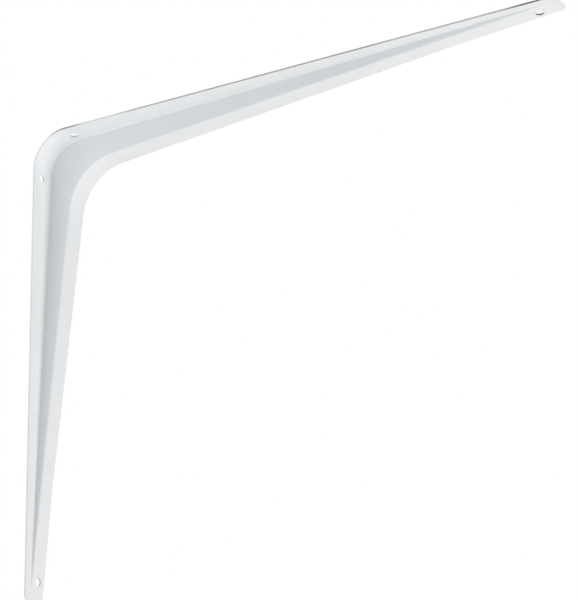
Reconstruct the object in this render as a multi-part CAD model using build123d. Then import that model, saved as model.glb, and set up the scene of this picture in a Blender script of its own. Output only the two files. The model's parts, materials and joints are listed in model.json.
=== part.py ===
from build123d import *
from math import asin, atan, atan2, cos, hypot, pi, sin, tan
import os

# A shelf bracket pressed from one sheet-steel blank. Millimetres.
# While it is formed, the wall is the plane X = 0, the shelf the plane Z = 0 and the middle
# of the web the plane Y = 0. The arm runs out along +X and the leg down along -Z.

# The blank
SHEET = 1.0
ARM_LENGTH = 300.0
LEG_LENGTH = 250.0

# Rounding of the L, on the back of the outer flange and the room face of the inner one
OUTER_CORNER_R = 19.4
INNER_CORNER_R = 26.9

# How far the inner flange stands off the outer one, at the corner and at the tips
STEP_AT_CORNER = 16.9
STEP_AT_TIP = 0.2

# Flange widths from the middle of the web, in the corner and at the tips. The inner flange has
# a waist before each tip and widens again round the screw hole
OUTER_WIDTH_CORNER = 14.3
OUTER_WIDTH_TIP = 4.0
INNER_WIDTH_CORNER = 11.1
INNER_WIDTH_WAIST = 7.8
INNER_WIDTH_TIP = 9.1
WAIST_FROM_TIP = 55.0

# Inside radii of the two folds, of which the root's gets smaller towards the tips
ROOT_FOLD_R_CORNER = 1.0
ROOT_FOLD_R_TIP = 0.2
CREST_FOLD_R = 0.2
SHORTEST_WEB = 0.1

# The flat end of each limb, and the stretch on which the folds run out to it
TIP_LAND = 5.0
TIP_RAMP = 2.5
TIP_CORNER_R = 3.0

# Screw holes, placed by their distance from the corner or the tip and from the web
HOLE_D = 4.0
WALL_TOP_HOLE_FROM_CORNER = 22.8
WALL_TOP_HOLE_FROM_WEB = 7.7
WALL_LOW_HOLE_FROM_TIP = 10.8
WALL_LOW_HOLE_FROM_WEB = 4.1
SHELF_NEAR_HOLE_FROM_CORNER = 19.4
SHELF_NEAR_HOLE_FROM_WEB = 5.4
SHELF_FAR_HOLE_FROM_TIP = 12.6
SHELF_FAR_HOLE_FROM_WEB = 4.9

# Straight run left beside the inner bend, and how far a cutter reaches past the sheet
BEND_MARGIN = 2.0
CUT_PAST = 5.0

# The inner flange leans towards the wall and the shelf along each limb
STEP_FALL = STEP_AT_CORNER - STEP_AT_TIP
LEG_SLOPE = STEP_FALL / LEG_LENGTH
ARM_SLOPE = STEP_FALL / ARM_LENGTH
CORNER_DEPTH = SHEET + STEP_AT_CORNER

# How far along the limbs the corner reaches, past the end of the inner bend
INNER_TURN = pi / 2 - atan(LEG_SLOPE) - atan(ARM_SLOPE)
CORNER_REACH = CORNER_DEPTH + INNER_CORNER_R * tan(INNER_TURN / 2) + BEND_MARGIN


def across_leg(u):
    """The plane across the leg, u below the shelf: local x is Y, local y leads off the wall."""
    return Plane(origin=(0, 0, -u), x_dir=(0, 1, 0), z_dir=(0, 0, -1))


def across_arm(u):
    """The plane across the arm, u off the wall: local x is Y, local y leads below the shelf."""
    return Plane(origin=(u, 0, 0), x_dir=(0, 1, 0), z_dir=(-1, 0, 0))


def meeting_point(depth):
    """Where the inner flange's leg and arm faces at this depth would cross, as (x, z)."""
    shared = 1 - LEG_SLOPE * ARM_SLOPE
    return depth * (1 - LEG_SLOPE) / shared, -depth * (1 - ARM_SLOPE) / shared


def side_plate(points, rounded, low, high):
    """A plate from Y = low to Y = high, with (x, z) corners of which some are rounded."""
    face = make_face(Polyline(*points, close=True))
    for corner, radius in rounded:
        face = fillet(face.vertices().sort_by_distance(corner)[0], radius)
    return extrude(Plane.XZ.offset(-high) * face, high - low)


def rounded_fold(pressing, face, bend, radius):
    """Round a fold all along: face 1 or 2 is the web's front or back, bend 0 or -1 its root or crest."""
    web = pressing.faces().filter_by(Axis.Y).sort_by(Axis.Y)[face]
    bends = web.edges().filter_by(GeomType.CIRCLE).sort_by_distance((0, 0, 0))
    return fillet(bends[bend], radius)


def corner_pressing():
    """Both flanges and the web round the corner, with their folds."""
    reach = CORNER_REACH
    half = SHEET / 2
    leg_room = CORNER_DEPTH - LEG_SLOPE * reach
    arm_room = CORNER_DEPTH - ARM_SLOPE * reach
    room_point = meeting_point(CORNER_DEPTH)
    back_point = meeting_point(STEP_AT_CORNER)
    outer_back = [(0, -reach), (0, 0), (reach, 0)]
    outer_room = [(reach, -SHEET), (SHEET, -SHEET), (SHEET, -reach)]
    inner_back = [(leg_room - SHEET, -reach), back_point, (reach, SHEET - arm_room)]
    inner_room = [(reach, -arm_room), room_point, (leg_room, -reach)]
    outside = ((0, 0), OUTER_CORNER_R)
    inside = (room_point, INNER_CORNER_R)

    pressing = side_plate(
        outer_back + outer_room,
        [outside, ((SHEET, -SHEET), OUTER_CORNER_R - SHEET)],
        -OUTER_WIDTH_CORNER, half,
    )
    pressing += side_plate(outer_back + inner_room, [outside, inside], -half, half)
    pressing += side_plate(
        inner_back + inner_room,
        [(back_point, INNER_CORNER_R + SHEET), inside],
        -half, INNER_WIDTH_CORNER,
    )
    pressing = rounded_fold(pressing, 1, 0, ROOT_FOLD_R_CORNER)
    pressing = rounded_fold(pressing, 2, 0, ROOT_FOLD_R_CORNER + SHEET)
    pressing = rounded_fold(pressing, 1, -1, CREST_FOLD_R + SHEET)
    return rounded_fold(pressing, 2, -1, CREST_FOLD_R)


def sheet_face(root_r, crest_r, angle, web, middle, shift):
    """One face of a folded section: its edges on the blank, root arc, web and crest arc.

    The face lies shift off the sheet's middle, and each fold turns it by angle.
    """
    along = Vector(cos(angle), sin(angle))
    roomwards = Vector(-sin(angle), cos(angle))
    bisector = Vector(sin(angle / 2), -cos(angle / 2))
    foot = middle + roomwards * shift - along * (web / 2)
    head = foot + along * web
    root = foot + roomwards * root_r
    crest = head - roomwards * crest_r
    root_arc = (root - Vector(0, root_r), root + bisector * root_r, foot)
    crest_arc = (head, crest - bisector * crest_r, crest + Vector(0, crest_r))
    outer_edge = Vector(-OUTER_WIDTH_CORNER, root_arc[0].Y)
    inner_edge = Vector(INNER_WIDTH_CORNER, crest_arc[-1].Y)
    return outer_edge, *root_arc, *crest_arc, inner_edge


def step_at(u, length):
    """How far the inner flange stands off the outer one, u along a limb."""
    return STEP_AT_CORNER - STEP_FALL * u / length


def outer_width(u, length):
    """Width of the outer flange u along a limb, where its edge runs straight to the tip."""
    taper = (OUTER_WIDTH_CORNER - OUTER_WIDTH_TIP) / (length - OUTER_CORNER_R)
    return OUTER_WIDTH_TIP + taper * (length - u)


def folded_faces(u, length):
    """Back and room face of the sheet near a tip, where the folds open as the step gets lower."""
    pair = ROOT_FOLD_R_TIP + SHEET + CREST_FOLD_R
    step = step_at(u, length)
    reach = hypot(SHORTEST_WEB, pair)
    angle = atan2(pair, SHORTEST_WEB) + asin(min(step - pair, SHORTEST_WEB) / reach)
    web = max(SHORTEST_WEB, step - pair)
    root_drop = (ROOT_FOLD_R_TIP + SHEET / 2) * cos(angle)
    middle = Vector(0, SHEET + ROOT_FOLD_R_TIP - root_drop + web / 2 * sin(angle))
    back = sheet_face(ROOT_FOLD_R_TIP + SHEET, CREST_FOLD_R, angle, web, middle, -SHEET / 2)
    room = sheet_face(ROOT_FOLD_R_TIP, CREST_FOLD_R + SHEET, angle, web, middle, SHEET / 2)
    return back, room


def section(back, room, curve):
    """The closed section between two faces of the sheet, with its folds drawn by curve."""
    edges = [Line(back[0], room[0]), Line(back[-1], room[-1])]
    for outer_edge, start, root_mid, foot, head, crest_mid, end, inner_edge in (back, room):
        edges += [
            Line(outer_edge, start),
            curve(start, root_mid, foot),
            Line(foot, head),
            curve(head, crest_mid, end),
            Line(end, inner_edge),
        ]
    return make_face(edges)


def flattened(face, depth, length):
    """A face of the sheet made flat, from this depth at the outer edge to the inner flange's at the other."""
    outer_edge = outer_width(length - TIP_LAND - TIP_RAMP, length)
    tilt = step_at(length - TIP_LAND / 2, length) / (outer_edge + INNER_WIDTH_TIP)
    return [Vector(point.X, depth + tilt * (point.X + outer_edge)) for point in face]


def limb_pressing(start_face, across, length):
    """A limb from the corner to its tip: the folds close in, open out and end in a flat land."""
    upright_step = ROOT_FOLD_R_TIP + SHEET + CREST_FOLD_R + SHORTEST_WEB
    upright_end = length * (STEP_AT_CORNER - upright_step) / STEP_FALL
    land_start = length - TIP_LAND
    ramp_start = land_start - TIP_RAMP
    stations = [upright_end, (upright_end + ramp_start) / 2, ramp_start]
    sections = [start_face]
    for u in stations:
        back, room = folded_faces(u, length)
        sections.append(across(u) * section(back, room, ThreePointArc))
    flat_back, flat_room = flattened(back, 0, length), flattened(room, SHEET, length)
    flat = section(flat_back, flat_room, lambda start, middle, end: Line(start, end))
    sections += [across(land_start) * flat, across(length) * flat]
    return loft(sections, ruled=True)


def over_leg():
    """The plane in front of the leg: local x is Y, local y leads down from the shelf."""
    return Plane(origin=(CORNER_DEPTH + CUT_PAST, 0, 0), x_dir=(0, 1, 0), z_dir=(-1, 0, 0))


def over_arm():
    """The plane above the arm: local x is Y, local y leads out from the wall."""
    return Plane(origin=(0, 0, CUT_PAST), x_dir=(0, 1, 0), z_dir=(0, 0, -1))


def limb_waste(length):
    """What is sheared off a limb: all that lies outside its waisted, round-ended outline."""
    top = OUTER_CORNER_R - CUT_PAST
    waist = length - WAIST_FROM_TIP
    inner_taper = (INNER_WIDTH_CORNER - INNER_WIDTH_WAIST) / (waist - CORNER_REACH)
    tip_corners = [(-OUTER_WIDTH_TIP, length), (INNER_WIDTH_TIP, length)]
    outline = make_face(Polyline(
        (-outer_width(top, length), top),
        *tip_corners,
        (INNER_WIDTH_WAIST, waist),
        (INNER_WIDTH_CORNER + inner_taper * (CORNER_REACH - top), top),
        close=True,
    ))
    for corner in tip_corners:
        outline = fillet(outline.vertices().sort_by_distance(corner)[0], TIP_CORNER_R)
    width = 2 * max(OUTER_WIDTH_CORNER, INNER_WIDTH_CORNER) + 4 * CUT_PAST
    strip = Pos(0, top) * Rectangle(width, length + CUT_PAST - top, align=(Align.CENTER, Align.MIN))
    return strip - outline


def screw_holes(*places):
    """Round holes at (distance from the web, distance from the corner) places."""
    return [Pos(*place) * Circle(HOLE_D / 2) for place in places]


# The blank is pressed, sheared to its outline and pierced
corner = corner_pressing()
leg = limb_pressing(corner.faces().sort_by(Axis.Z)[0], across_leg, LEG_LENGTH)
arm = limb_pressing(corner.faces().sort_by(Axis.X)[-1], across_arm, ARM_LENGTH)
bracket = corner + leg + arm

wall_top = (-WALL_TOP_HOLE_FROM_WEB, WALL_TOP_HOLE_FROM_CORNER)
wall_low = (WALL_LOW_HOLE_FROM_WEB, LEG_LENGTH - WALL_LOW_HOLE_FROM_TIP)
shelf_near = (-SHELF_NEAR_HOLE_FROM_WEB, SHELF_NEAR_HOLE_FROM_CORNER)
shelf_far = (SHELF_FAR_HOLE_FROM_WEB, ARM_LENGTH - SHELF_FAR_HOLE_FROM_TIP)
cut_depth = CORNER_DEPTH + 2 * CUT_PAST
for over, length, places in (
    (over_leg(), LEG_LENGTH, (wall_top, wall_low)),
    (over_arm(), ARM_LENGTH, (shelf_near, shelf_far)),
):
    for cut in [limb_waste(length), *screw_holes(*places)]:
        bracket -= extrude(over * cut, cut_depth)

# The finished part is placed with the middle of its two wall holes, on the wall, at the origin
middle_y = (wall_top[0] + wall_low[0]) / 2
middle_drop = (wall_top[1] + wall_low[1]) / 2
bracket = Pos(0, -middle_y, middle_drop) * bracket

os.makedirs("parts", exist_ok=True)
export_step(bracket, "parts/bracket.step")
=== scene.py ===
# %% [markdown]
# # A shelf bracket pressed from one sheet of steel
#
# The object is the plainest of shelf brackets: one blank of thin sheet steel, pressed into an L, sheared
# to its outline, pierced for screws and painted white. Its stiffness comes from its section. One flange
# lies on the wall and the shelf, a web stands off it, and a second flange runs along the room side, so
# that a cut across a limb looks like a Z. The step of the Z is deepest in the corner and runs out to flat
# tips.
#
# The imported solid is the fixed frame: it says how long the limbs are and where they lie. This lesson
# models the same sheet again as a smooth shell, with rounded edges and finer folds, and puts it in the
# solid's place.

# %% Load the solid
import json
from math import asin, atan, atan2, cos, degrees, hypot, pi, radians, sin

import bmesh
import bpy
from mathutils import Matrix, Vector

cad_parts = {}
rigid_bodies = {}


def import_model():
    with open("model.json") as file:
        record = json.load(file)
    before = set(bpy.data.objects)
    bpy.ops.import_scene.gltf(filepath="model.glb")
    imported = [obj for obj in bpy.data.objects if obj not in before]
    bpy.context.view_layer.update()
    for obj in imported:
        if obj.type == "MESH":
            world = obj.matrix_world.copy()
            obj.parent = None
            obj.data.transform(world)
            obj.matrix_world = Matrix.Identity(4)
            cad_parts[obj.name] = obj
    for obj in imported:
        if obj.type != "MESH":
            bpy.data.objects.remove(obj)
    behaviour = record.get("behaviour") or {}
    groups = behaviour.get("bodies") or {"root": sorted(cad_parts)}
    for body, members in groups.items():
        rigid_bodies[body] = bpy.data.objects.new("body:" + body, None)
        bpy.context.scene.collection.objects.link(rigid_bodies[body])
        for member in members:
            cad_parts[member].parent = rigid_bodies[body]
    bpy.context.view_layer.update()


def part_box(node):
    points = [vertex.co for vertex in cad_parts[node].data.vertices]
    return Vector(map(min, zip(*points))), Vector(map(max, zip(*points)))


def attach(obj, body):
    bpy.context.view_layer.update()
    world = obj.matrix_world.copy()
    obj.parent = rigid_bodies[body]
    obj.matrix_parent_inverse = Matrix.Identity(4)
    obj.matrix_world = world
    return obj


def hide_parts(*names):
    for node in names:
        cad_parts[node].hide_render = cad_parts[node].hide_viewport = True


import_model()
bpy.ops.object.select_all(action="DESELECT")

# %% [markdown]
# ## Sizes
#
# A designer would read these off a drawing of the bracket. The two lengths come from the solid's box, and
# so does the place of the corner: the point where the wall, the shelf and the middle of the web meet.
# Everything is drawn from that corner first and carried to its place at the end, because round numbers
# are easier to follow there.

# %% Sizes of the sheet, the flanges and the folds
MM = 0.001

SHEET = 1.0 * MM
OUTER_CORNER_R = 19.4 * MM
INNER_CORNER_R = 26.9 * MM
STEP_AT_CORNER = 16.9 * MM
STEP_AT_TIP = 0.2 * MM

OUTER_WIDTH_CORNER = 14.3 * MM
OUTER_WIDTH_TIP = 4.0 * MM
INNER_WIDTH_CORNER = 11.1 * MM
INNER_WIDTH_WAIST = 7.8 * MM
INNER_WIDTH_TIP = 9.1 * MM
WAIST_FROM_TIP = 55.0 * MM

ROOT_FOLD_R_CORNER = 1.0 * MM
ROOT_FOLD_R_TIP = 0.2 * MM
CREST_FOLD_R = 0.2 * MM
SHORTEST_WEB = 0.1 * MM

TIP_LAND = 5.0 * MM
TIP_RAMP = 2.5 * MM
TIP_CORNER_R = 3.0 * MM
BEND_MARGIN = 2.0 * MM

low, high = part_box("bracket")
ARM_LENGTH = high.x - low.x
LEG_LENGTH = high.z - low.z
CORNER = Vector((low.x, low.y + OUTER_WIDTH_CORNER, high.z))
print("arm", round(ARM_LENGTH, 4), "leg", round(LEG_LENGTH, 4), "corner", [round(c, 4) for c in CORNER])

# %% [markdown]
# ## The two limbs
#
# The leg and the arm are the same pressing at two lengths. A limb needs three directions: along it,
# across it, and off the surface it is screwed to. With these as vectors, one set of functions draws both
# limbs, and the arm doesn't need a mirrored copy that would turn its faces inside out.

# %% Directions and slopes of the limbs
ACROSS = Vector((0, 1, 0))


class Limb:
    """One limb of the L: its directions, its length and how its inner flange leans towards the tip."""

    def __init__(self, name, along, off, length):
        self.name = name
        self.along = Vector(along)
        self.off = Vector(off)
        self.length = length
        self.slope = (STEP_AT_CORNER - STEP_AT_TIP) / length
        self.fold_axis = ACROSS.cross(self.off)

    def at(self, along, across, off):
        return self.along * along + ACROSS * across + self.off * off


leg = Limb("leg", (0, 0, -1), (1, 0, 0), LEG_LENGTH)
arm = Limb("arm", (1, 0, 0), (0, 0, -1), ARM_LENGTH)
LIMBS = (leg, arm)

# The inner bend turns less than a quarter, because both inner flanges lean
INNER_TURN = pi / 2 - atan(leg.slope) - atan(arm.slope)
CORNER_DEPTH = SHEET + STEP_AT_CORNER
CORNER_REACH = CORNER_DEPTH + INNER_CORNER_R * sin(INNER_TURN / 2) / cos(INNER_TURN / 2) + BEND_MARGIN
print("inner bend turns", round(degrees(INNER_TURN), 2), "degrees")
print("corner ends", round(CORNER_REACH / MM, 2), "mm along each limb")

# %% [markdown]
# ## One section of the sheet
#
# Across a limb the middle of the sheet is a line with two folds: flange, root fold, web, crest fold,
# flange. While the step is deep, both folds are square. Near the tip there is no room for two square
# folds, so they open out instead. section_at works out the folds at any distance along the limb. The root
# fold is wide in the corner, where the metal has to flow, and gets tight towards the tip.

# %% The folds at a distance along a limb
HALF = SHEET / 2
CREST_R = CREST_FOLD_R + HALF
TIGHT_PAIR = ROOT_FOLD_R_TIP + HALF + CREST_R


def upright_end(limb):
    """How far along the limb both folds are still square."""
    return (STEP_AT_CORNER - TIGHT_PAIR - SHORTEST_WEB) / limb.slope


def step_at(limb, u):
    """How far the inner flange stands off the outer one, at distance u along the limb."""
    return STEP_AT_CORNER - limb.slope * u


def section_at(limb, u):
    """Root radius, fold angle and web length of the sheet's middle, at distance u along the limb."""
    step = step_at(limb, u)
    square_until = upright_end(limb)
    share = min(max((u - CORNER_REACH) / (square_until - CORNER_REACH), 0), 1)
    root_r = HALF + ROOT_FOLD_R_CORNER + (ROOT_FOLD_R_TIP - ROOT_FOLD_R_CORNER) * share
    if u <= square_until:
        return root_r, pi / 2, step - root_r - CREST_R
    reach = hypot(SHORTEST_WEB, TIGHT_PAIR)
    angle = atan2(TIGHT_PAIR, SHORTEST_WEB) + asin((step - TIGHT_PAIR) / reach)
    return root_r, angle, SHORTEST_WEB


for limb in LIMBS:
    root_r, angle, web = section_at(limb, CORNER_REACH)
    print(limb.name, "root radius and web after the corner, mm:", round(root_r / MM, 2), round(web / MM, 2))

# %% [markdown]
# ## Width of the flanges
#
# Both flanges taper, because a bracket carries most near the wall. The inner one has to be wide enough
# again at its end for the screw, so it has a waist. Straight lines between a few widths give the sheared
# outline of the real one.

# %% Widths of both flanges
def outer_width(limb, u):
    """Width of the outer flange, which tapers all the way from the corner's rounding."""
    share = max(u - OUTER_CORNER_R, 0) / (limb.length - OUTER_CORNER_R)
    return OUTER_WIDTH_CORNER + (OUTER_WIDTH_TIP - OUTER_WIDTH_CORNER) * share


def inner_width(limb, u):
    """Width of the inner flange, which tapers to a waist and widens again round the screw hole."""
    past_waist = u - (limb.length - WAIST_FROM_TIP)
    if past_waist > 0:
        return INNER_WIDTH_WAIST + (INNER_WIDTH_TIP - INNER_WIDTH_WAIST) * past_waist / WAIST_FROM_TIP
    taper = limb.length - WAIST_FROM_TIP - CORNER_REACH
    return INNER_WIDTH_WAIST + (INNER_WIDTH_CORNER - INNER_WIDTH_WAIST) * min(-past_waist / taper, 1)


for limb in LIMBS:
    tip_widths = [round(width(limb, limb.length) / MM, 2) for width in (outer_width, inner_width)]
    print(limb.name, "flanges at the tip, mm:", tip_widths)

# %% [markdown]
# ## An empty shell
#
# The sheet is drawn as a surface first, the middle of the metal, and gets its thickness later. No
# operator adds an empty mesh, so a plane is added and its vertices are deleted in edit mode. A vertex
# group will hold the vertices where the web starts, because spin and bridge carry such a mark along.

# %% An empty shell to draw in
bpy.ops.mesh.primitive_plane_add(size=SHEET)
shell = bpy.context.active_object
shell.name = "pressed_bracket"
bpy.ops.object.vertex_group_add()
shell.vertex_groups.active.name = "web_side"
bpy.ops.object.mode_set(mode="EDIT")
bpy.ops.mesh.delete(type="VERT")
print("drawing in", shell.name)

# %% [markdown]
# ## Chains of vertices
#
# An operator acts on whatever is selected, so each step has to select what it means. By hand that is a
# click. Here a drawn section is kept as a chain, the list of its vertex numbers, and is selected again
# when it is needed.

# %% Select a chain and read the selection
def sheet_mesh():
    mesh = bmesh.from_edit_mesh(shell.data)
    mesh.verts.ensure_lookup_table()
    return mesh


def select(*chains):
    """Select the vertices of these chains, and the edges between them."""
    bpy.ops.mesh.select_all(action="DESELECT")
    mesh = sheet_mesh()
    for index in [index for chain in chains for index in chain]:
        mesh.verts[index].select = True
    mesh.select_flush(True)
    bmesh.update_edit_mesh(shell.data)


def selected():
    return [vertex.index for vertex in sheet_mesh().verts if vertex.select]


def whole_chain():
    """The chain that was just drawn, as vertex numbers."""
    bpy.ops.mesh.select_linked()
    return selected()


print("vertices in the shell:", len(sheet_mesh().verts))

# %% [markdown]
# ## Drawing with extrude and spin
#
# Each section is drawn as by hand: start from one vertex, extrude it for a straight run and spin it for a
# fold. A vertex alone isn't a primitive, so a small plane is added and merged to its middle. Spin is
# given its centre and axis, because without a window there is no cursor to place. It counts its angle
# against the right-hand rule, hence the minus sign. Bridge fills the sheet between two chains with the
# same number of vertices.

# %% Start, run, fold and bridge
def start(point):
    bpy.ops.mesh.select_all(action="DESELECT")
    bpy.ops.mesh.primitive_plane_add(size=SHEET, location=point)
    bpy.ops.mesh.merge(type="CENTER")


def run(vector):
    bpy.ops.mesh.extrude_vertices_move(TRANSFORM_OT_translate={"value": vector})


def fold(centre, axis, angle, steps):
    bpy.ops.mesh.spin(steps=steps, angle=-angle, center=centre, axis=axis)


def bridge(chain, next_chain, cuts=0):
    select(chain, next_chain)
    bpy.ops.mesh.bridge_edge_loops(number_cuts=cuts, interpolation="LINEAR")


print("drawing tools: start, run, fold, bridge")

# %% [markdown]
# ## Half sections
#
# The section is drawn in two halves, outer flange with root fold and inner flange with crest fold, so
# that in the corner each half can turn about its own centre. Both follow the same plan: start at the
# sheared edge, run to the fold and turn towards the web. The outer half turns up to the foot of the web
# and the inner half turns down over the crest to its head. The mark for the web is set last, because
# whatever is extruded from a marked vertex inherits its mark. Every half of a kind has the same number of
# vertices, so that neighbours can be bridged.

# %% Draw an outer or an inner half section
ROOT_STEPS = 10
CREST_STEPS = 8


def mark_web_side():
    bpy.ops.object.vertex_group_assign()


def outer_half(limb, u):
    root_r, angle, web = section_at(limb, u)
    edge = -outer_width(limb, u)
    fold_start = -web / 2 * cos(angle) - root_r * sin(angle)
    start(limb.at(u, edge, HALF))
    run(ACROSS * (fold_start - edge))
    fold(limb.at(u, fold_start, HALF + root_r), limb.fold_axis, angle, ROOT_STEPS)
    mark_web_side()
    return whole_chain()


def inner_half(limb, u):
    root_r, angle, web = section_at(limb, u)
    fold_end = web / 2 * cos(angle) + CREST_R * sin(angle)
    depth = HALF + step_at(limb, u)
    edge = inner_width(limb, u)
    start(limb.at(u, edge, depth))
    run(ACROSS * (fold_end - edge))
    fold(limb.at(u, fold_end, depth - CREST_R), limb.fold_axis, angle, CREST_STEPS)
    mark_web_side()
    return whole_chain()


HALVES = (outer_half, inner_half)
print("vertices in a half section: outer", ROOT_STEPS + 2, "inner", CREST_STEPS + 2)

# %% [markdown]
# ## The limbs, from the corner to the run-out
#
# The sections that matter are those where something changes: the end of the corner, the waist of the
# inner flange, the end of the square folds, half way through their opening, and the start of their
# run-out. Between two of them the sheet is straight or nearly so. A section every few millimetres would
# do the same with far more points to draw, so the few are bridged with linear cuts, which give faces of a
# handy length.

# %% Draw the sections of both limbs and bridge them
FACE_LENGTH = 14 * MM


def limb_stations(limb):
    ramp_start = limb.length - TIP_LAND - TIP_RAMP
    square_until = upright_end(limb)
    return [
        CORNER_REACH,
        limb.length - WAIST_FROM_TIP,
        square_until,
        (square_until + ramp_start) / 2,
        ramp_start,
    ]


def bridged(limb, half):
    """Chains at the limb's stations, bridged one to the next. Returns the first and the last."""
    stations = limb_stations(limb)
    chains = [half(limb, u) for u in stations]
    for here, there, chain, next_chain in zip(stations, stations[1:], chains, chains[1:]):
        bridge(chain, next_chain, cuts=int((there - here) / FACE_LENGTH))
    return chains[0], chains[-1]


limb_ends = {}
for limb in LIMBS:
    for half in HALVES:
        limb_ends[limb, half] = bridged(limb, half)
print("sections drawn, vertices so far:", len(sheet_mesh().verts))

# %% [markdown]
# ## Round the outer corner
#
# The outer flange turns a quarter about one centre. It could be drawn section by section, as the limbs
# are, but spin sweeps one half section round the centre and keeps it the same all the way. The ends of
# the spun strip are then bridged to the limbs.

# %% Spin the outer corner
CORNER_STEPS = 32


def spun(chain, centre, turn):
    """Turn a chain about an axis across the bracket. Returns the chain at the far end."""
    select(chain)
    fold(centre, ACROSS, turn, CORNER_STEPS)
    return selected()


outer_centre = Vector((OUTER_CORNER_R, 0, -OUTER_CORNER_R))
outer_start = outer_half(leg, OUTER_CORNER_R)
outer_end = spun(outer_start, outer_centre, pi / 2)
bridge(limb_ends[leg, outer_half][0], outer_start, cuts=1)
bridge(outer_end, limb_ends[arm, outer_half][0], cuts=1)
print("outer corner about", [round(c / MM, 2) for c in outer_centre], "mm from the corner point")

# %% [markdown]
# ## Round the inner bend
#
# The inner flange turns a little less than a quarter, because it leans towards both tips, and about a
# centre further into the room. Its half section is drawn square to the leaning flange there, because a
# spun section has to stand upright on its path. The rest is as for the outer corner.

# %% Spin the inner bend
def inner_bend_centre():
    """The point that is the bend's radius off both inner flanges."""
    off_leg = CORNER_DEPTH + INNER_CORNER_R * hypot(1, leg.slope)
    off_arm = CORNER_DEPTH + INNER_CORNER_R * hypot(1, arm.slope)
    z = (off_arm - arm.slope * off_leg) / (arm.slope * leg.slope - 1)
    return Vector((off_leg + leg.slope * z, 0, z))


def inner_bend_start(centre):
    """The inner half section where the leg ends and the bend begins, square to the leaning flange."""
    roomwards = Vector((1, 0, -leg.slope)).normalized()
    on_flange = centre - roomwards * (INNER_CORNER_R + HALF)
    start(on_flange + ACROSS * INNER_WIDTH_CORNER)
    run(ACROSS * (CREST_R - INNER_WIDTH_CORNER))
    fold(on_flange + ACROSS * CREST_R - roomwards * CREST_R, ACROSS.cross(roomwards), pi / 2, CREST_STEPS)
    mark_web_side()
    return whole_chain()


inner_centre = inner_bend_centre()
inner_start = inner_bend_start(inner_centre)
inner_end = spun(inner_start, inner_centre, INNER_TURN)
bridge(limb_ends[leg, inner_half][0], inner_start, cuts=1)
bridge(inner_end, limb_ends[arm, inner_half][0], cuts=1)
print("inner bend about", [round(c / MM, 2) for c in inner_centre], "mm from the corner point")

# %% [markdown]
# ## Run-out
#
# At the end of each limb the folds run out into a flat tongue. The last section is extruded by the length
# of the run-out and scaled to nothing in the direction off the wall or the shelf, which takes the folds
# out of it. Then it is turned a little about its outer edge, until its inner edge meets the inner flange,
# so that neither sheared edge has a kink. The edges are moved across to follow the taper.

# %% Extrude the last sections and flatten them
flat_chains = {}


def move_edge(chain, pick, distance):
    """Move the vertex on a sheared edge across the bracket. Pick min is the outer edge, max the inner."""
    mesh = sheet_mesh()
    select([pick(chain, key=lambda index: mesh.verts[index].co.y)])
    bpy.ops.transform.translate(value=ACROSS * distance)


for limb in LIMBS:
    land_start = limb.length - TIP_LAND
    ramp_start = land_start - TIP_RAMP
    hinge = outer_width(limb, ramp_start)
    tilt = atan(step_at(limb, limb.length - TIP_LAND / 2) / (hinge + INNER_WIDTH_TIP))
    tilt_axis = "Z" if limb is leg else "X"
    pivot = limb.at(land_start, -hinge, HALF)
    flatten = Vector((1, 1, 1)) - Vector(map(abs, limb.off))
    for half in HALVES:
        select(limb_ends[limb, half][1])
        bpy.ops.mesh.extrude_edges_move(TRANSFORM_OT_translate={"value": limb.along * TIP_RAMP})
        flat_chains[limb, half] = selected()
        bpy.ops.transform.resize(value=flatten, center_override=pivot)
        bpy.ops.transform.rotate(value=tilt, orient_axis=tilt_axis, center_override=pivot)
    outer_taper = hinge - outer_width(limb, land_start)
    inner_taper = inner_width(limb, land_start) - inner_width(limb, ramp_start)
    move_edge(flat_chains[limb, outer_half], min, outer_taper)
    move_edge(flat_chains[limb, inner_half], max, inner_taper)
    mesh = sheet_mesh()
    rise = max(mesh.verts[index].co.dot(limb.off) for index in flat_chains[limb, inner_half])
    print(limb.name, "tongue, tilt in degrees:", round(degrees(tilt), 2), "rise in mm:", round(rise / MM, 3))

# %% [markdown]
# ## The web
#
# Both halves now run from tip to tip with the same number of vertices along the fold, so the web is one
# bridge between the two lines of the vertex group. It is flat, which is why nothing more is needed.

# %% Bridge the web
WEB_CUTS = 2

bpy.ops.mesh.select_all(action="DESELECT")
bpy.ops.object.vertex_group_select()
bpy.ops.mesh.select_mode(type="EDGE")
web_line = len(selected())
bpy.ops.mesh.bridge_edge_loops(number_cuts=WEB_CUTS, interpolation="LINEAR")
bpy.ops.mesh.select_mode(type="VERT")
print("web bridged between", web_line, "vertices")

# %% [markdown]
# ## Flat tips
#
# Past the run-out the sheet is a flat tongue, so it can be a single face. The two edge vertices are
# extruded to the tip, joined and filled with the flat section. Its two free corners are then rounded by a
# vertex bevel, which a face of many narrow strips wouldn't allow.

# %% Fill the flat tongues and round their corners
TIP_STEPS = 8
NEARLY = 0.01 * MM


def sheared_edges(limb):
    """The two vertices of a limb's flat section that lie on the sheared edges."""
    mesh = sheet_mesh()
    row = flat_chains[limb, outer_half] + flat_chains[limb, inner_half]
    return [pick(row, key=lambda index: mesh.verts[index].co.y) for pick in (min, max)]


for limb in LIMBS:
    land_start = limb.length - TIP_LAND
    select(sheared_edges(limb))
    run(limb.along * TIP_LAND)
    tip = selected()
    bpy.ops.mesh.edge_face_add()
    move_edge(tip, min, outer_width(limb, land_start) - outer_width(limb, limb.length))
    move_edge(tip, max, inner_width(limb, limb.length) - inner_width(limb, land_start))
    mesh = sheet_mesh()
    tongue = [v.index for v in mesh.verts if v.co.dot(limb.along) > land_start - NEARLY]
    select(tongue)
    bpy.ops.mesh.edge_face_add()
    select(tip)
    bpy.ops.mesh.bevel(offset=TIP_CORNER_R, affect="VERTICES", segments=TIP_STEPS, profile=0.5)
print("tips filled, vertices:", len(sheet_mesh().verts))

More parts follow.
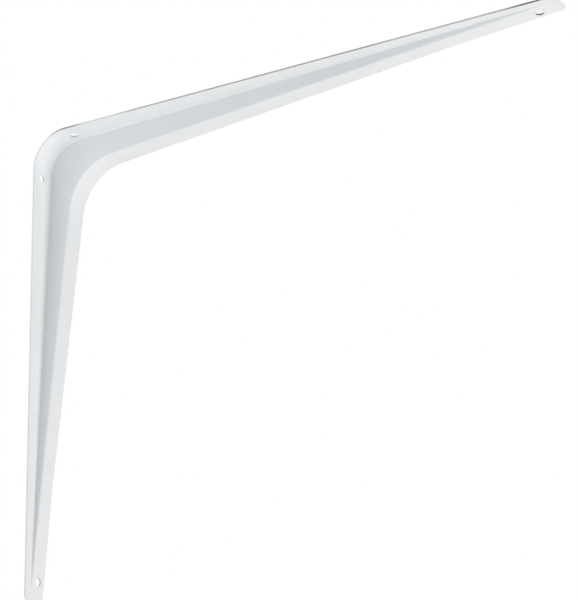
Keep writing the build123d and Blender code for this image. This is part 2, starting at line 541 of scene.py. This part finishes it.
# %% [markdown]
# ## From shell to sheet
#
# The shell is the middle of the sheet, without thickness. Its normals are made consistent first, and then
# Solidify gives it half the sheet on each side. The faces along the sheared edge go to a second material
# slot, where the arm's edge gets a painted dark line of shade and reflection over a thin coat of paint.

# %% Carry it to its place and give it thickness
EDGE_SLOT = 1
HOLE_SLOT = 2
SAME_POINT = 0.001 * MM

bpy.ops.mesh.select_all(action="SELECT")
bpy.ops.mesh.remove_doubles(threshold=SAME_POINT)
bpy.ops.mesh.normals_make_consistent(inside=False)
bpy.ops.transform.translate(value=CORNER)
bpy.ops.object.mode_set(mode="OBJECT")
bpy.ops.object.vertex_group_remove(all=True)

white_paint = bpy.data.materials.new("white_stoving_paint")
# The edge material holds a painted dark line of shade and reflection along the arm, over thin paint.
edge_paint_and_shade = bpy.data.materials.new("thin_paint_and_painted_shade_on_sheared_edge")
# The hole material's grey is painted shade on the hole walls, over thin paint.
hole_paint_and_shade = bpy.data.materials.new("thin_paint_and_painted_shade_in_holes")
for paint in (white_paint, edge_paint_and_shade, hole_paint_and_shade):
    shell.data.materials.append(paint)

bpy.ops.object.modifier_add(type="SOLIDIFY")
thickness = shell.modifiers[-1]
thickness.thickness = SHEET
thickness.offset = 0
thickness.use_even_offset = True
thickness.use_quality_normals = True
thickness.material_offset_rim = EDGE_SLOT
bpy.ops.object.modifier_apply(modifier=thickness.name)
print("sheet faces:", len(shell.data.polygons))

# %% [markdown]
# ## Punches for the screw holes
#
# The holes are pierced near the corner through the outer flange and near each tip through the inner one.
# A press does that with round punches, so a cylinder is added on each screw's axis, and the four are
# joined into one cutter. Three holes get a grey ring of painted shade over a thin coat of paint. The
# fourth, at the arm's tip, gets a darker ring of painted shade, so its wall is treated like the sheared
# edge there. Each punch carries the slot for its hole's wall.

# %% A cutter of four punches
HOLE_R = 2.0 * MM
HOLE_SEGMENTS = 64
CUTTER_LENGTH = 12.0 * MM
HOLES = [
    (leg, 22.8 * MM, -7.7 * MM, HOLE_SLOT),
    (leg, LEG_LENGTH - 10.8 * MM, 4.1 * MM, HOLE_SLOT),
    (arm, 19.4 * MM, -5.4 * MM, HOLE_SLOT),
    # The arm's far hole takes the edge's slot, for a darker painted shade on its wall.
    (arm, ARM_LENGTH - 12.6 * MM, 4.9 * MM, EDGE_SLOT),
]

bpy.ops.object.select_all(action="DESELECT")
punches = []
for limb, u, across, slot in HOLES:
    bpy.ops.mesh.primitive_cylinder_add(
        vertices=HOLE_SEGMENTS,
        radius=HOLE_R,
        depth=CUTTER_LENGTH,
        location=CORNER + limb.at(u, across, HALF),
        rotation=limb.off.to_track_quat("Z", "Y").to_euler(),
    )
    punch = bpy.context.active_object
    for paint in shell.data.materials:
        punch.data.materials.append(paint)
    for face in punch.data.polygons:
        face.material_index = slot
    punches.append(punch)
for punch in punches:
    punch.select_set(True)
bpy.ops.object.join()
cutter = bpy.context.active_object
print("punches joined:", len(HOLES))

# %% [markdown]
# ## Piercing
#
# A Boolean takes the cutter out of the sheet, and the walls of the holes get the slots of the punches.
# The exact solver is slower than the fast one, but more reliable on a sheet as thin as this.

# %% Pierce the sheet
bpy.ops.object.select_all(action="DESELECT")
shell.select_set(True)
bpy.context.view_layer.objects.active = shell
bpy.ops.object.modifier_add(type="BOOLEAN")
pierce = shell.modifiers[-1]
pierce.operation = "DIFFERENCE"
pierce.solver = "EXACT"
pierce.object = cutter
bpy.ops.object.modifier_apply(modifier=pierce.name)
bpy.data.objects.remove(cutter)
print("faces after piercing:", len(shell.data.polygons))

# %% [markdown]
# ## Rounded edges
#
# No sheared edge is razor sharp once it is painted. A narrow bevel catches the light the way a painted
# edge does. The edges that need it are exactly those where the sheet's faces meet the cut faces, so the
# slots of the cut faces find them: select their faces, turn the selection into its outline and give that
# a bevel weight. Harden Normals keeps the broad faces flat in shading, so that the small bevel doesn't
# make them look swollen.

# %% Bevel the sheared edges and smooth the folds
EDGE_ROUND = 0.15 * MM
EDGE_STEPS = 3
SHARP = radians(50)

bpy.ops.object.shade_smooth_by_angle(angle=SHARP)
bpy.ops.object.mode_set(mode="EDIT")
bpy.ops.mesh.select_mode(type="FACE")
bpy.ops.mesh.select_all(action="DESELECT")
for slot in (EDGE_SLOT, HOLE_SLOT):
    shell.active_material_index = slot
    bpy.ops.object.material_slot_select()
bpy.ops.mesh.region_to_loop()
bpy.ops.transform.edge_bevelweight(value=1.0)
outline = sum(edge.select for edge in sheet_mesh().edges)
bpy.ops.object.mode_set(mode="OBJECT")

bpy.ops.object.modifier_add(type="BEVEL")
rounding = shell.modifiers[-1]
rounding.width = EDGE_ROUND
rounding.segments = EDGE_STEPS
rounding.limit_method = "WEIGHT"
rounding.use_clamp_overlap = False
rounding.harden_normals = True
bpy.ops.object.modifier_apply(modifier=rounding.name)
print("bevelled", outline, "edges, bracket faces:", len(shell.data.polygons))

# %% [markdown]
# ## Paint
#
# Stoving paint on sheet steel is a satin white with a cool tint. Close up it has a faint orange peel, and
# its thickness drifts a little from place to place. Both come from noise on object coordinates, so they
# stay with the part wherever it goes. They sit in a node group, because the paint on the flat faces, on
# the sheared edges and in the holes shares them.

# %% A node group for the paint's grain
grain = bpy.data.node_groups.new("paint_grain", "ShaderNodeTree")
for name in ("Thin Colour", "Thick Colour"):
    grain.interface.new_socket(name, in_out="INPUT", socket_type="NodeSocketColor")
grain.interface.new_socket("Colour", in_out="OUTPUT", socket_type="NodeSocketColor")
grain.interface.new_socket("Roughness", in_out="OUTPUT", socket_type="NodeSocketFloat")
grain.interface.new_socket("Normal", in_out="OUTPUT", socket_type="NodeSocketVector")
add = grain.nodes.new
link = grain.links.new
given = add("NodeGroupInput")
result = add("NodeGroupOutput")
place = add("ShaderNodeTexCoord")
print("node group:", grain.name)

# %% [markdown]
# ## Orange peel
#
# Baked paint sets with a fine, dimpled skin, like the peel of an orange. It is far too shallow to model,
# so a noise tilts the normals by way of a bump. Its height is a few thousandths of a millimetre, as on
# the real thing.

# %% Orange peel in the node group
PEEL_SCALE = 650
PEEL_HEIGHT = 0.006 * MM
PEEL_STRENGTH = 0.5
PEEL_DETAIL = 2

peel = add("ShaderNodeTexNoise")
peel.inputs["Scale"].default_value = PEEL_SCALE
peel.inputs["Detail"].default_value = PEEL_DETAIL
bump = add("ShaderNodeBump")
bump.inputs["Strength"].default_value = PEEL_STRENGTH
bump.inputs["Distance"].default_value = PEEL_HEIGHT
link(place.outputs["Object"], peel.inputs["Vector"])
link(peel.outputs["Fac"], bump.inputs["Height"])
link(bump.outputs["Normal"], result.inputs["Normal"])
print("orange peel, mm high:", PEEL_HEIGHT / MM)

# %% [markdown]
# ## Drift of the coat
#
# Sprayed paint is a little thicker here than there. A broad noise stands for the thickness: where the
# coat is thick it is whiter and glossier. The two tones are inputs of the group, so that each material
# can have its own.

# %% Thickness of the coat in the node group
DRIFT_SCALE = 40
NOISE_LOW = 0.3
NOISE_HIGH = 0.7
THIN_ROUGHNESS = 0.50
THICK_ROUGHNESS = 0.42

drift = add("ShaderNodeTexNoise")
drift.inputs["Scale"].default_value = DRIFT_SCALE
coat = add("ShaderNodeMapRange")
coat.inputs["From Min"].default_value = NOISE_LOW
coat.inputs["From Max"].default_value = NOISE_HIGH
tint = add("ShaderNodeMixRGB")
gloss = add("ShaderNodeMapRange")
gloss.inputs["To Min"].default_value = THIN_ROUGHNESS
gloss.inputs["To Max"].default_value = THICK_ROUGHNESS
link(place.outputs["Object"], drift.inputs["Vector"])
link(drift.outputs["Fac"], coat.inputs["Value"])
link(coat.outputs["Result"], tint.inputs["Fac"])
link(given.outputs["Thin Colour"], tint.inputs["Color1"])
link(given.outputs["Thick Colour"], tint.inputs["Color2"])
link(coat.outputs["Result"], gloss.inputs["Value"])
link(tint.outputs["Color"], result.inputs["Colour"])
link(gloss.outputs["Result"], result.inputs["Roughness"])
print("nodes in the group:", len(grain.nodes))

# %% [markdown]
# ## White and grey paint
#
# The flat faces are a cool white. In the holes the grey is painted shade over a thin coat, so there the
# same group gets two greys. The shader stays in each material, and the group only feeds its sockets.

# %% White stoving paint, and grey in the holes
THIN_WHITE = (0.81, 0.82, 0.83, 1.0)
THICK_WHITE = (0.83, 0.84, 0.85, 1.0)
# These greys are painted shade on the hole walls, over a thin coat.
THIN_GREY = (0.55, 0.56, 0.57, 1.0)
THICK_GREY = (0.57, 0.58, 0.59, 1.0)


def principled(material):
    """The node tree of a material and its shader."""
    material.use_nodes = True
    return material.node_tree, material.node_tree.nodes["Principled BSDF"]


def painted(material, thin_colour, thick_colour):
    """Give a material the paint's gloss and grain. Returns its node tree, its shader and the group."""
    tree, shader = principled(material)
    texture = tree.nodes.new("ShaderNodeGroup")
    texture.node_tree = grain
    texture.inputs["Thin Colour"].default_value = thin_colour
    texture.inputs["Thick Colour"].default_value = thick_colour
    tree.links.new(texture.outputs["Roughness"], shader.inputs["Roughness"])
    tree.links.new(texture.outputs["Normal"], shader.inputs["Normal"])
    return tree, shader, texture


for material, thin, thick in ((white_paint, THIN_WHITE, THICK_WHITE), (hole_paint_and_shade, THIN_GREY, THICK_GREY)):
    tree, shader, texture = painted(material, thin, thick)
    tree.links.new(texture.outputs["Colour"], shader.inputs["Base Color"])
    print("paint:", material.name)

# %% [markdown]
# ## Sheared edges
#
# Paint draws back from a sheared edge as it bakes, so the coat there is thin over the steel. Along the
# arm the edge also gets painted shade and a painted dark reflection: a thin line that is darkest beside
# the corner and at the tip, nearly gone just after the corner and fainter again before the tip. A colour
# ramp sets how dark the edge is painted, by its distance from the wall. An image could hold the line too,
# but a ramp stays sharp and is easy to change.

# %% How dark the edge is painted along the arm
# How dark the arm's edge is painted at each distance from the wall: thin paint with painted shade and
# reflection.
THIN_PAINT_AND_SHADE = [
    (10 * MM, 0.05),
    (17 * MM, 0.85),
    (26 * MM, 0.85),
    (31 * MM, 0.04),
    (48 * MM, 0.06),
    (66 * MM, 0.50),
    (205 * MM, 0.54),
    (214 * MM, 0.30),
    (272 * MM, 0.28),
    (281 * MM, 0.95),
    (295 * MM, 0.95),
    (298 * MM, 0.00),
]

tree, shader, texture = painted(edge_paint_and_shade, THIN_WHITE, THICK_WHITE)
add = tree.nodes.new
link = tree.links.new
place = add("ShaderNodeTexCoord")
axes = add("ShaderNodeSeparateXYZ")
along_arm = add("ShaderNodeMapRange")
along_arm.inputs["From Max"].default_value = ARM_LENGTH
dark_edge_line = add("ShaderNodeValToRGB")
stops = dark_edge_line.color_ramp.elements
stops.remove(stops[1])
for number, (from_wall, share) in enumerate(THIN_PAINT_AND_SHADE):
    stop = stops[0] if number == 0 else stops.new(from_wall / ARM_LENGTH)
    stop.position = from_wall / ARM_LENGTH
    stop.color = (share, share, share, 1)
link(place.outputs["Object"], axes.inputs["Vector"])
link(axes.outputs["X"], along_arm.inputs["Value"])
link(along_arm.outputs["Result"], dark_edge_line.inputs["Fac"])
print("stops along the arm:", len(stops))

# %% [markdown]
# ## Patches on the arm's edge
#
# A fine noise breaks the painted dark line up into patches. The leg's edge stays white. The leg and the
# inner bend lie lower than the arm's edges, so a second range, by height, keeps the painted dark line off
# them.

# %% Break the line up and keep it to the arm
BREAK_UP_SCALE = 900
PATCH_FROM = 0.3
PATCH_TO = 0.6
LEAST_DARK = 0.7
ARM_ABOVE = 17 * MM
LEG_BELOW = 20 * MM

break_up = add("ShaderNodeTexNoise")
break_up.inputs["Scale"].default_value = BREAK_UP_SCALE
patchy = add("ShaderNodeMapRange")
patchy.inputs["From Min"].default_value = PATCH_FROM
patchy.inputs["From Max"].default_value = PATCH_TO
patchy.inputs["To Min"].default_value = LEAST_DARK
on_arm = add("ShaderNodeMapRange")
on_arm.inputs["From Min"].default_value = CORNER.z - LEG_BELOW
on_arm.inputs["From Max"].default_value = CORNER.z - ARM_ABOVE
patches_on_arm = add("ShaderNodeMath")
patches_on_arm.operation = "MULTIPLY"
link(place.outputs["Object"], break_up.inputs["Vector"])
link(break_up.outputs["Fac"], patchy.inputs["Value"])
link(axes.outputs["Z"], on_arm.inputs["Value"])
link(patchy.outputs["Result"], patches_on_arm.inputs[0])
link(on_arm.outputs["Result"], patches_on_arm.inputs[1])
# The bare line printed here is the painted dark line of shade and reflection over thin paint.
print("bare line fades out", ARM_ABOVE / MM, "to", LEG_BELOW / MM, "mm below the shelf")

# %% [markdown]
# ## Painted dark edge
#
# Line and patches together say how dark the edge is painted. The paint's own white is mixed by that share
# with a dark grey that stands for steel under thin paint and for painted shade and reflection, and the
# result goes to the shader.

# %% Mix the painted dark into the paint
# Dark grey for steel under thin paint and for painted shade and reflection on the arm's edge.
STEEL_AND_PAINTED_SHADE = (0.10, 0.10, 0.105, 1.0)

edge_darkness = add("ShaderNodeMath")
edge_darkness.operation = "MULTIPLY"
colour = add("ShaderNodeMixRGB")
colour.inputs["Color2"].default_value = STEEL_AND_PAINTED_SHADE
link(dark_edge_line.outputs["Color"], edge_darkness.inputs[0])
link(patches_on_arm.outputs["Value"], edge_darkness.inputs[1])
link(edge_darkness.outputs["Value"], colour.inputs["Fac"])
link(texture.outputs["Colour"], colour.inputs["Color1"])
link(colour.outputs["Color"], shader.inputs["Base Color"])
print("edge:", edge_paint_and_shade.name)

# %% [markdown]
# ## In the solid's place
#
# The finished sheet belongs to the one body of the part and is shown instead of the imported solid.

# %% Ride on the body and replace the solid
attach(shell, "root")
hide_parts("bracket")
triangles = sum(len(face.vertices) - 2 for face in shell.data.polygons)
print(shell.name, "has", triangles, "triangles")

# %% [markdown]
# ## Floor
#
# A bracket hangs at shoulder height, so the floor is well below it, and the photograph doesn't show it at
# all. From above it is a pale ground that keeps a soft shadow. A large plane is enough for that. The next
# step gives its material a white that lights nothing, so the material is left out of the search for
# lamps, which would waste samples on it and make the render grainy.

# %% A floor well below the bracket
FLOOR_Z = -1.2
FLOOR_SIZE = 30.0

bpy.ops.object.select_all(action="DESELECT")
bpy.ops.mesh.primitive_plane_add(size=FLOOR_SIZE, location=(0, 0, FLOOR_Z))
floor = bpy.context.active_object
floor.name = "floor"
floor_paint = bpy.data.materials.new("pale_floor")
floor.data.materials.append(floor_paint)
floor_paint.cycles.emission_sampling = "NONE"
print("floor at", FLOOR_Z, "m")

# %% [markdown]
# ## White that is only seen
#
# For what the camera and glossy surfaces see, white is mixed into the floor, and more of it further out,
# so that the floor has no edge. The Light Path node tells such rays from those that only carry light
# between surfaces. Paler paint alone would still leave a line where the floor ends.

# %% The floor's paint, and its white for rays that see
FLOOR_GREY = (0.80, 0.80, 0.80, 1)
FLOOR_ROUGHNESS = 0.9
FADE_FROM = 1.0
FADE_TO = 6.0
WHITE_SHARE = 0.7


def seen_directly(tree):
    """A value that is 1 for camera, glossy and transmission rays."""
    path = tree.nodes.new("ShaderNodeLightPath")
    total = path.outputs["Is Camera Ray"]
    for kind in ("Is Glossy Ray", "Is Transmission Ray"):
        either = tree.nodes.new("ShaderNodeMath")
        either.operation = "MAXIMUM"
        tree.links.new(total, either.inputs[0])
        tree.links.new(path.outputs[kind], either.inputs[1])
        total = either.outputs["Value"]
    return total


tree, shader = principled(floor_paint)
shader.inputs["Base Color"].default_value = FLOOR_GREY
shader.inputs["Roughness"].default_value = FLOOR_ROUGHNESS
add = tree.nodes.new
place = add("ShaderNodeTexCoord")
distance = add("ShaderNodeVectorMath")
distance.operation = "LENGTH"
fade = add("ShaderNodeMapRange")
fade.interpolation_type = "SMOOTHSTEP"
fade.inputs["From Min"].default_value = FADE_FROM
fade.inputs["From Max"].default_value = FADE_TO
fade.inputs["To Min"].default_value = WHITE_SHARE
only_seen = add("ShaderNodeMath")
only_seen.operation = "MULTIPLY"
white = add("ShaderNodeEmission")
blend = add("ShaderNodeMixShader")

link = tree.links.new
link(place.outputs["Object"], distance.inputs[0])
link(distance.outputs["Value"], fade.inputs["Value"])
link(fade.outputs["Result"], only_seen.inputs[0])
link(seen_directly(tree), only_seen.inputs[1])
link(only_seen.outputs["Value"], blend.inputs["Fac"])
link(shader.outputs["BSDF"], blend.inputs[1])
link(white.outputs["Emission"], blend.inputs[2])
link(blend.outputs["Shader"], tree.nodes["Material Output"].inputs["Surface"])
print("floor is plain white from", FADE_TO, "m out")

# %% [markdown]
# ## World
#
# What is seen behind the bracket is plain white. As light, the same world is much weaker, like the walls
# of a room, and only fills the shadows.

# %% White background and soft room light
ROOM_LIGHT = (0.35, 0.35, 0.35, 1)
SEEN_WHITE = (1, 1, 1, 1)

world = bpy.data.worlds.new("white_studio")
bpy.context.scene.world = world
world.use_nodes = True
tree = world.node_tree
room = tree.nodes["Background"]
room.inputs["Color"].default_value = ROOM_LIGHT
background = tree.nodes.new("ShaderNodeBackground")
background.inputs["Color"].default_value = SEEN_WHITE
blend = tree.nodes.new("ShaderNodeMixShader")
tree.links.new(seen_directly(tree), blend.inputs["Fac"])
tree.links.new(room.outputs["Background"], blend.inputs[1])
tree.links.new(background.outputs["Background"], blend.inputs[2])
tree.links.new(blend.outputs["Shader"], tree.nodes["World Output"].inputs["Surface"])
bpy.context.scene.view_settings.view_transform = "Standard"
print("world:", world.name)

# %% [markdown]
# ## Lamps
#
# In the photograph the flanges are bright all round the corner and the web is a cool grey, darkest
# towards the leg's tip. So the strong light comes from the right, where the leg's flanges face, and from
# below, where the arm's do. Two small, weak ones near the corner, one of them bluish, light the web from
# the front and fade out along both limbs. The last one is for the back, which the photograph doesn't
# show.

# %% Soft boxes round the bracket
MIDDLE = Vector((0.10, 0, 0.03))
NEUTRAL = (1.0, 1.0, 1.0)
BLUE = (0.78, 0.96, 1.0)


def direction(azimuth, elevation):
    """Towards a place at these degrees: azimuth 0 is in front of the web, 90 is out along the arm."""
    azimuth, elevation = radians(azimuth), radians(elevation)
    return Vector((sin(azimuth) * cos(elevation), -cos(azimuth) * cos(elevation), sin(elevation)))


def soft_box(name, azimuth, elevation, watts, colour, about=MIDDLE, distance=1.15, size=0.9):
    data = bpy.data.lights.new(name, "AREA")
    data.shape = "DISK"
    data.size = size
    data.energy = watts
    data.color = colour
    lamp = bpy.data.objects.new(name, data)
    bpy.context.scene.collection.objects.link(lamp)
    towards = direction(azimuth, elevation)
    lamp.location = about + towards * distance
    lamp.rotation_euler = towards.to_track_quat("Z", "Y").to_euler()
    lamp.visible_camera = False
    print(name, [round(c, 2) for c in lamp.location])


soft_box("right_box", 90, -18, 9.7, NEUTRAL)
soft_box("low_box", 315, -50, 4.8, NEUTRAL)
soft_box("low_rear_box", 225, -50, 1.0, NEUTRAL)
soft_box("front_box", 350, 0, 0.30, BLUE, about=CORNER, distance=0.45, size=0.3)
soft_box("left_box", 315, 25, 0.75, NEUTRAL, about=CORNER, distance=0.6, size=0.4)
soft_box("back_box", 200, 35, 6.0, NEUTRAL)

# %% [markdown]
# ## Camera
#
# The photograph looks up at the bracket from the front and a little from the right. Its angle, distance
# and lens were found by fitting the bracket's own edges to it. The picture is a little taller than wide,
# so the sensor's width spans its height.

# %% Camera of the photograph
IMAGE_HEIGHT_PX = 600
FOCAL_PX = 1897.18
VIEW_AZIMUTH = 31.91
VIEW_ELEVATION = -20.93
VIEW_DISTANCE = 0.9116
VIEW_TARGET = CORNER + Vector((0.15178, 0, -0.12020))

camera_data = bpy.data.cameras.new("catalogue_camera")
camera_data.lens = FOCAL_PX * camera_data.sensor_width / IMAGE_HEIGHT_PX
camera = bpy.data.objects.new("catalogue_camera", camera_data)
bpy.context.scene.collection.objects.link(camera)
back = direction(VIEW_AZIMUTH, VIEW_ELEVATION)
camera.location = VIEW_TARGET + back * VIEW_DISTANCE
camera.rotation_euler = back.to_track_quat("Z", "Y").to_euler()
bpy.context.scene.camera = camera
print("camera at", [round(c, 3) for c in camera.location], "lens", round(camera_data.lens, 2))
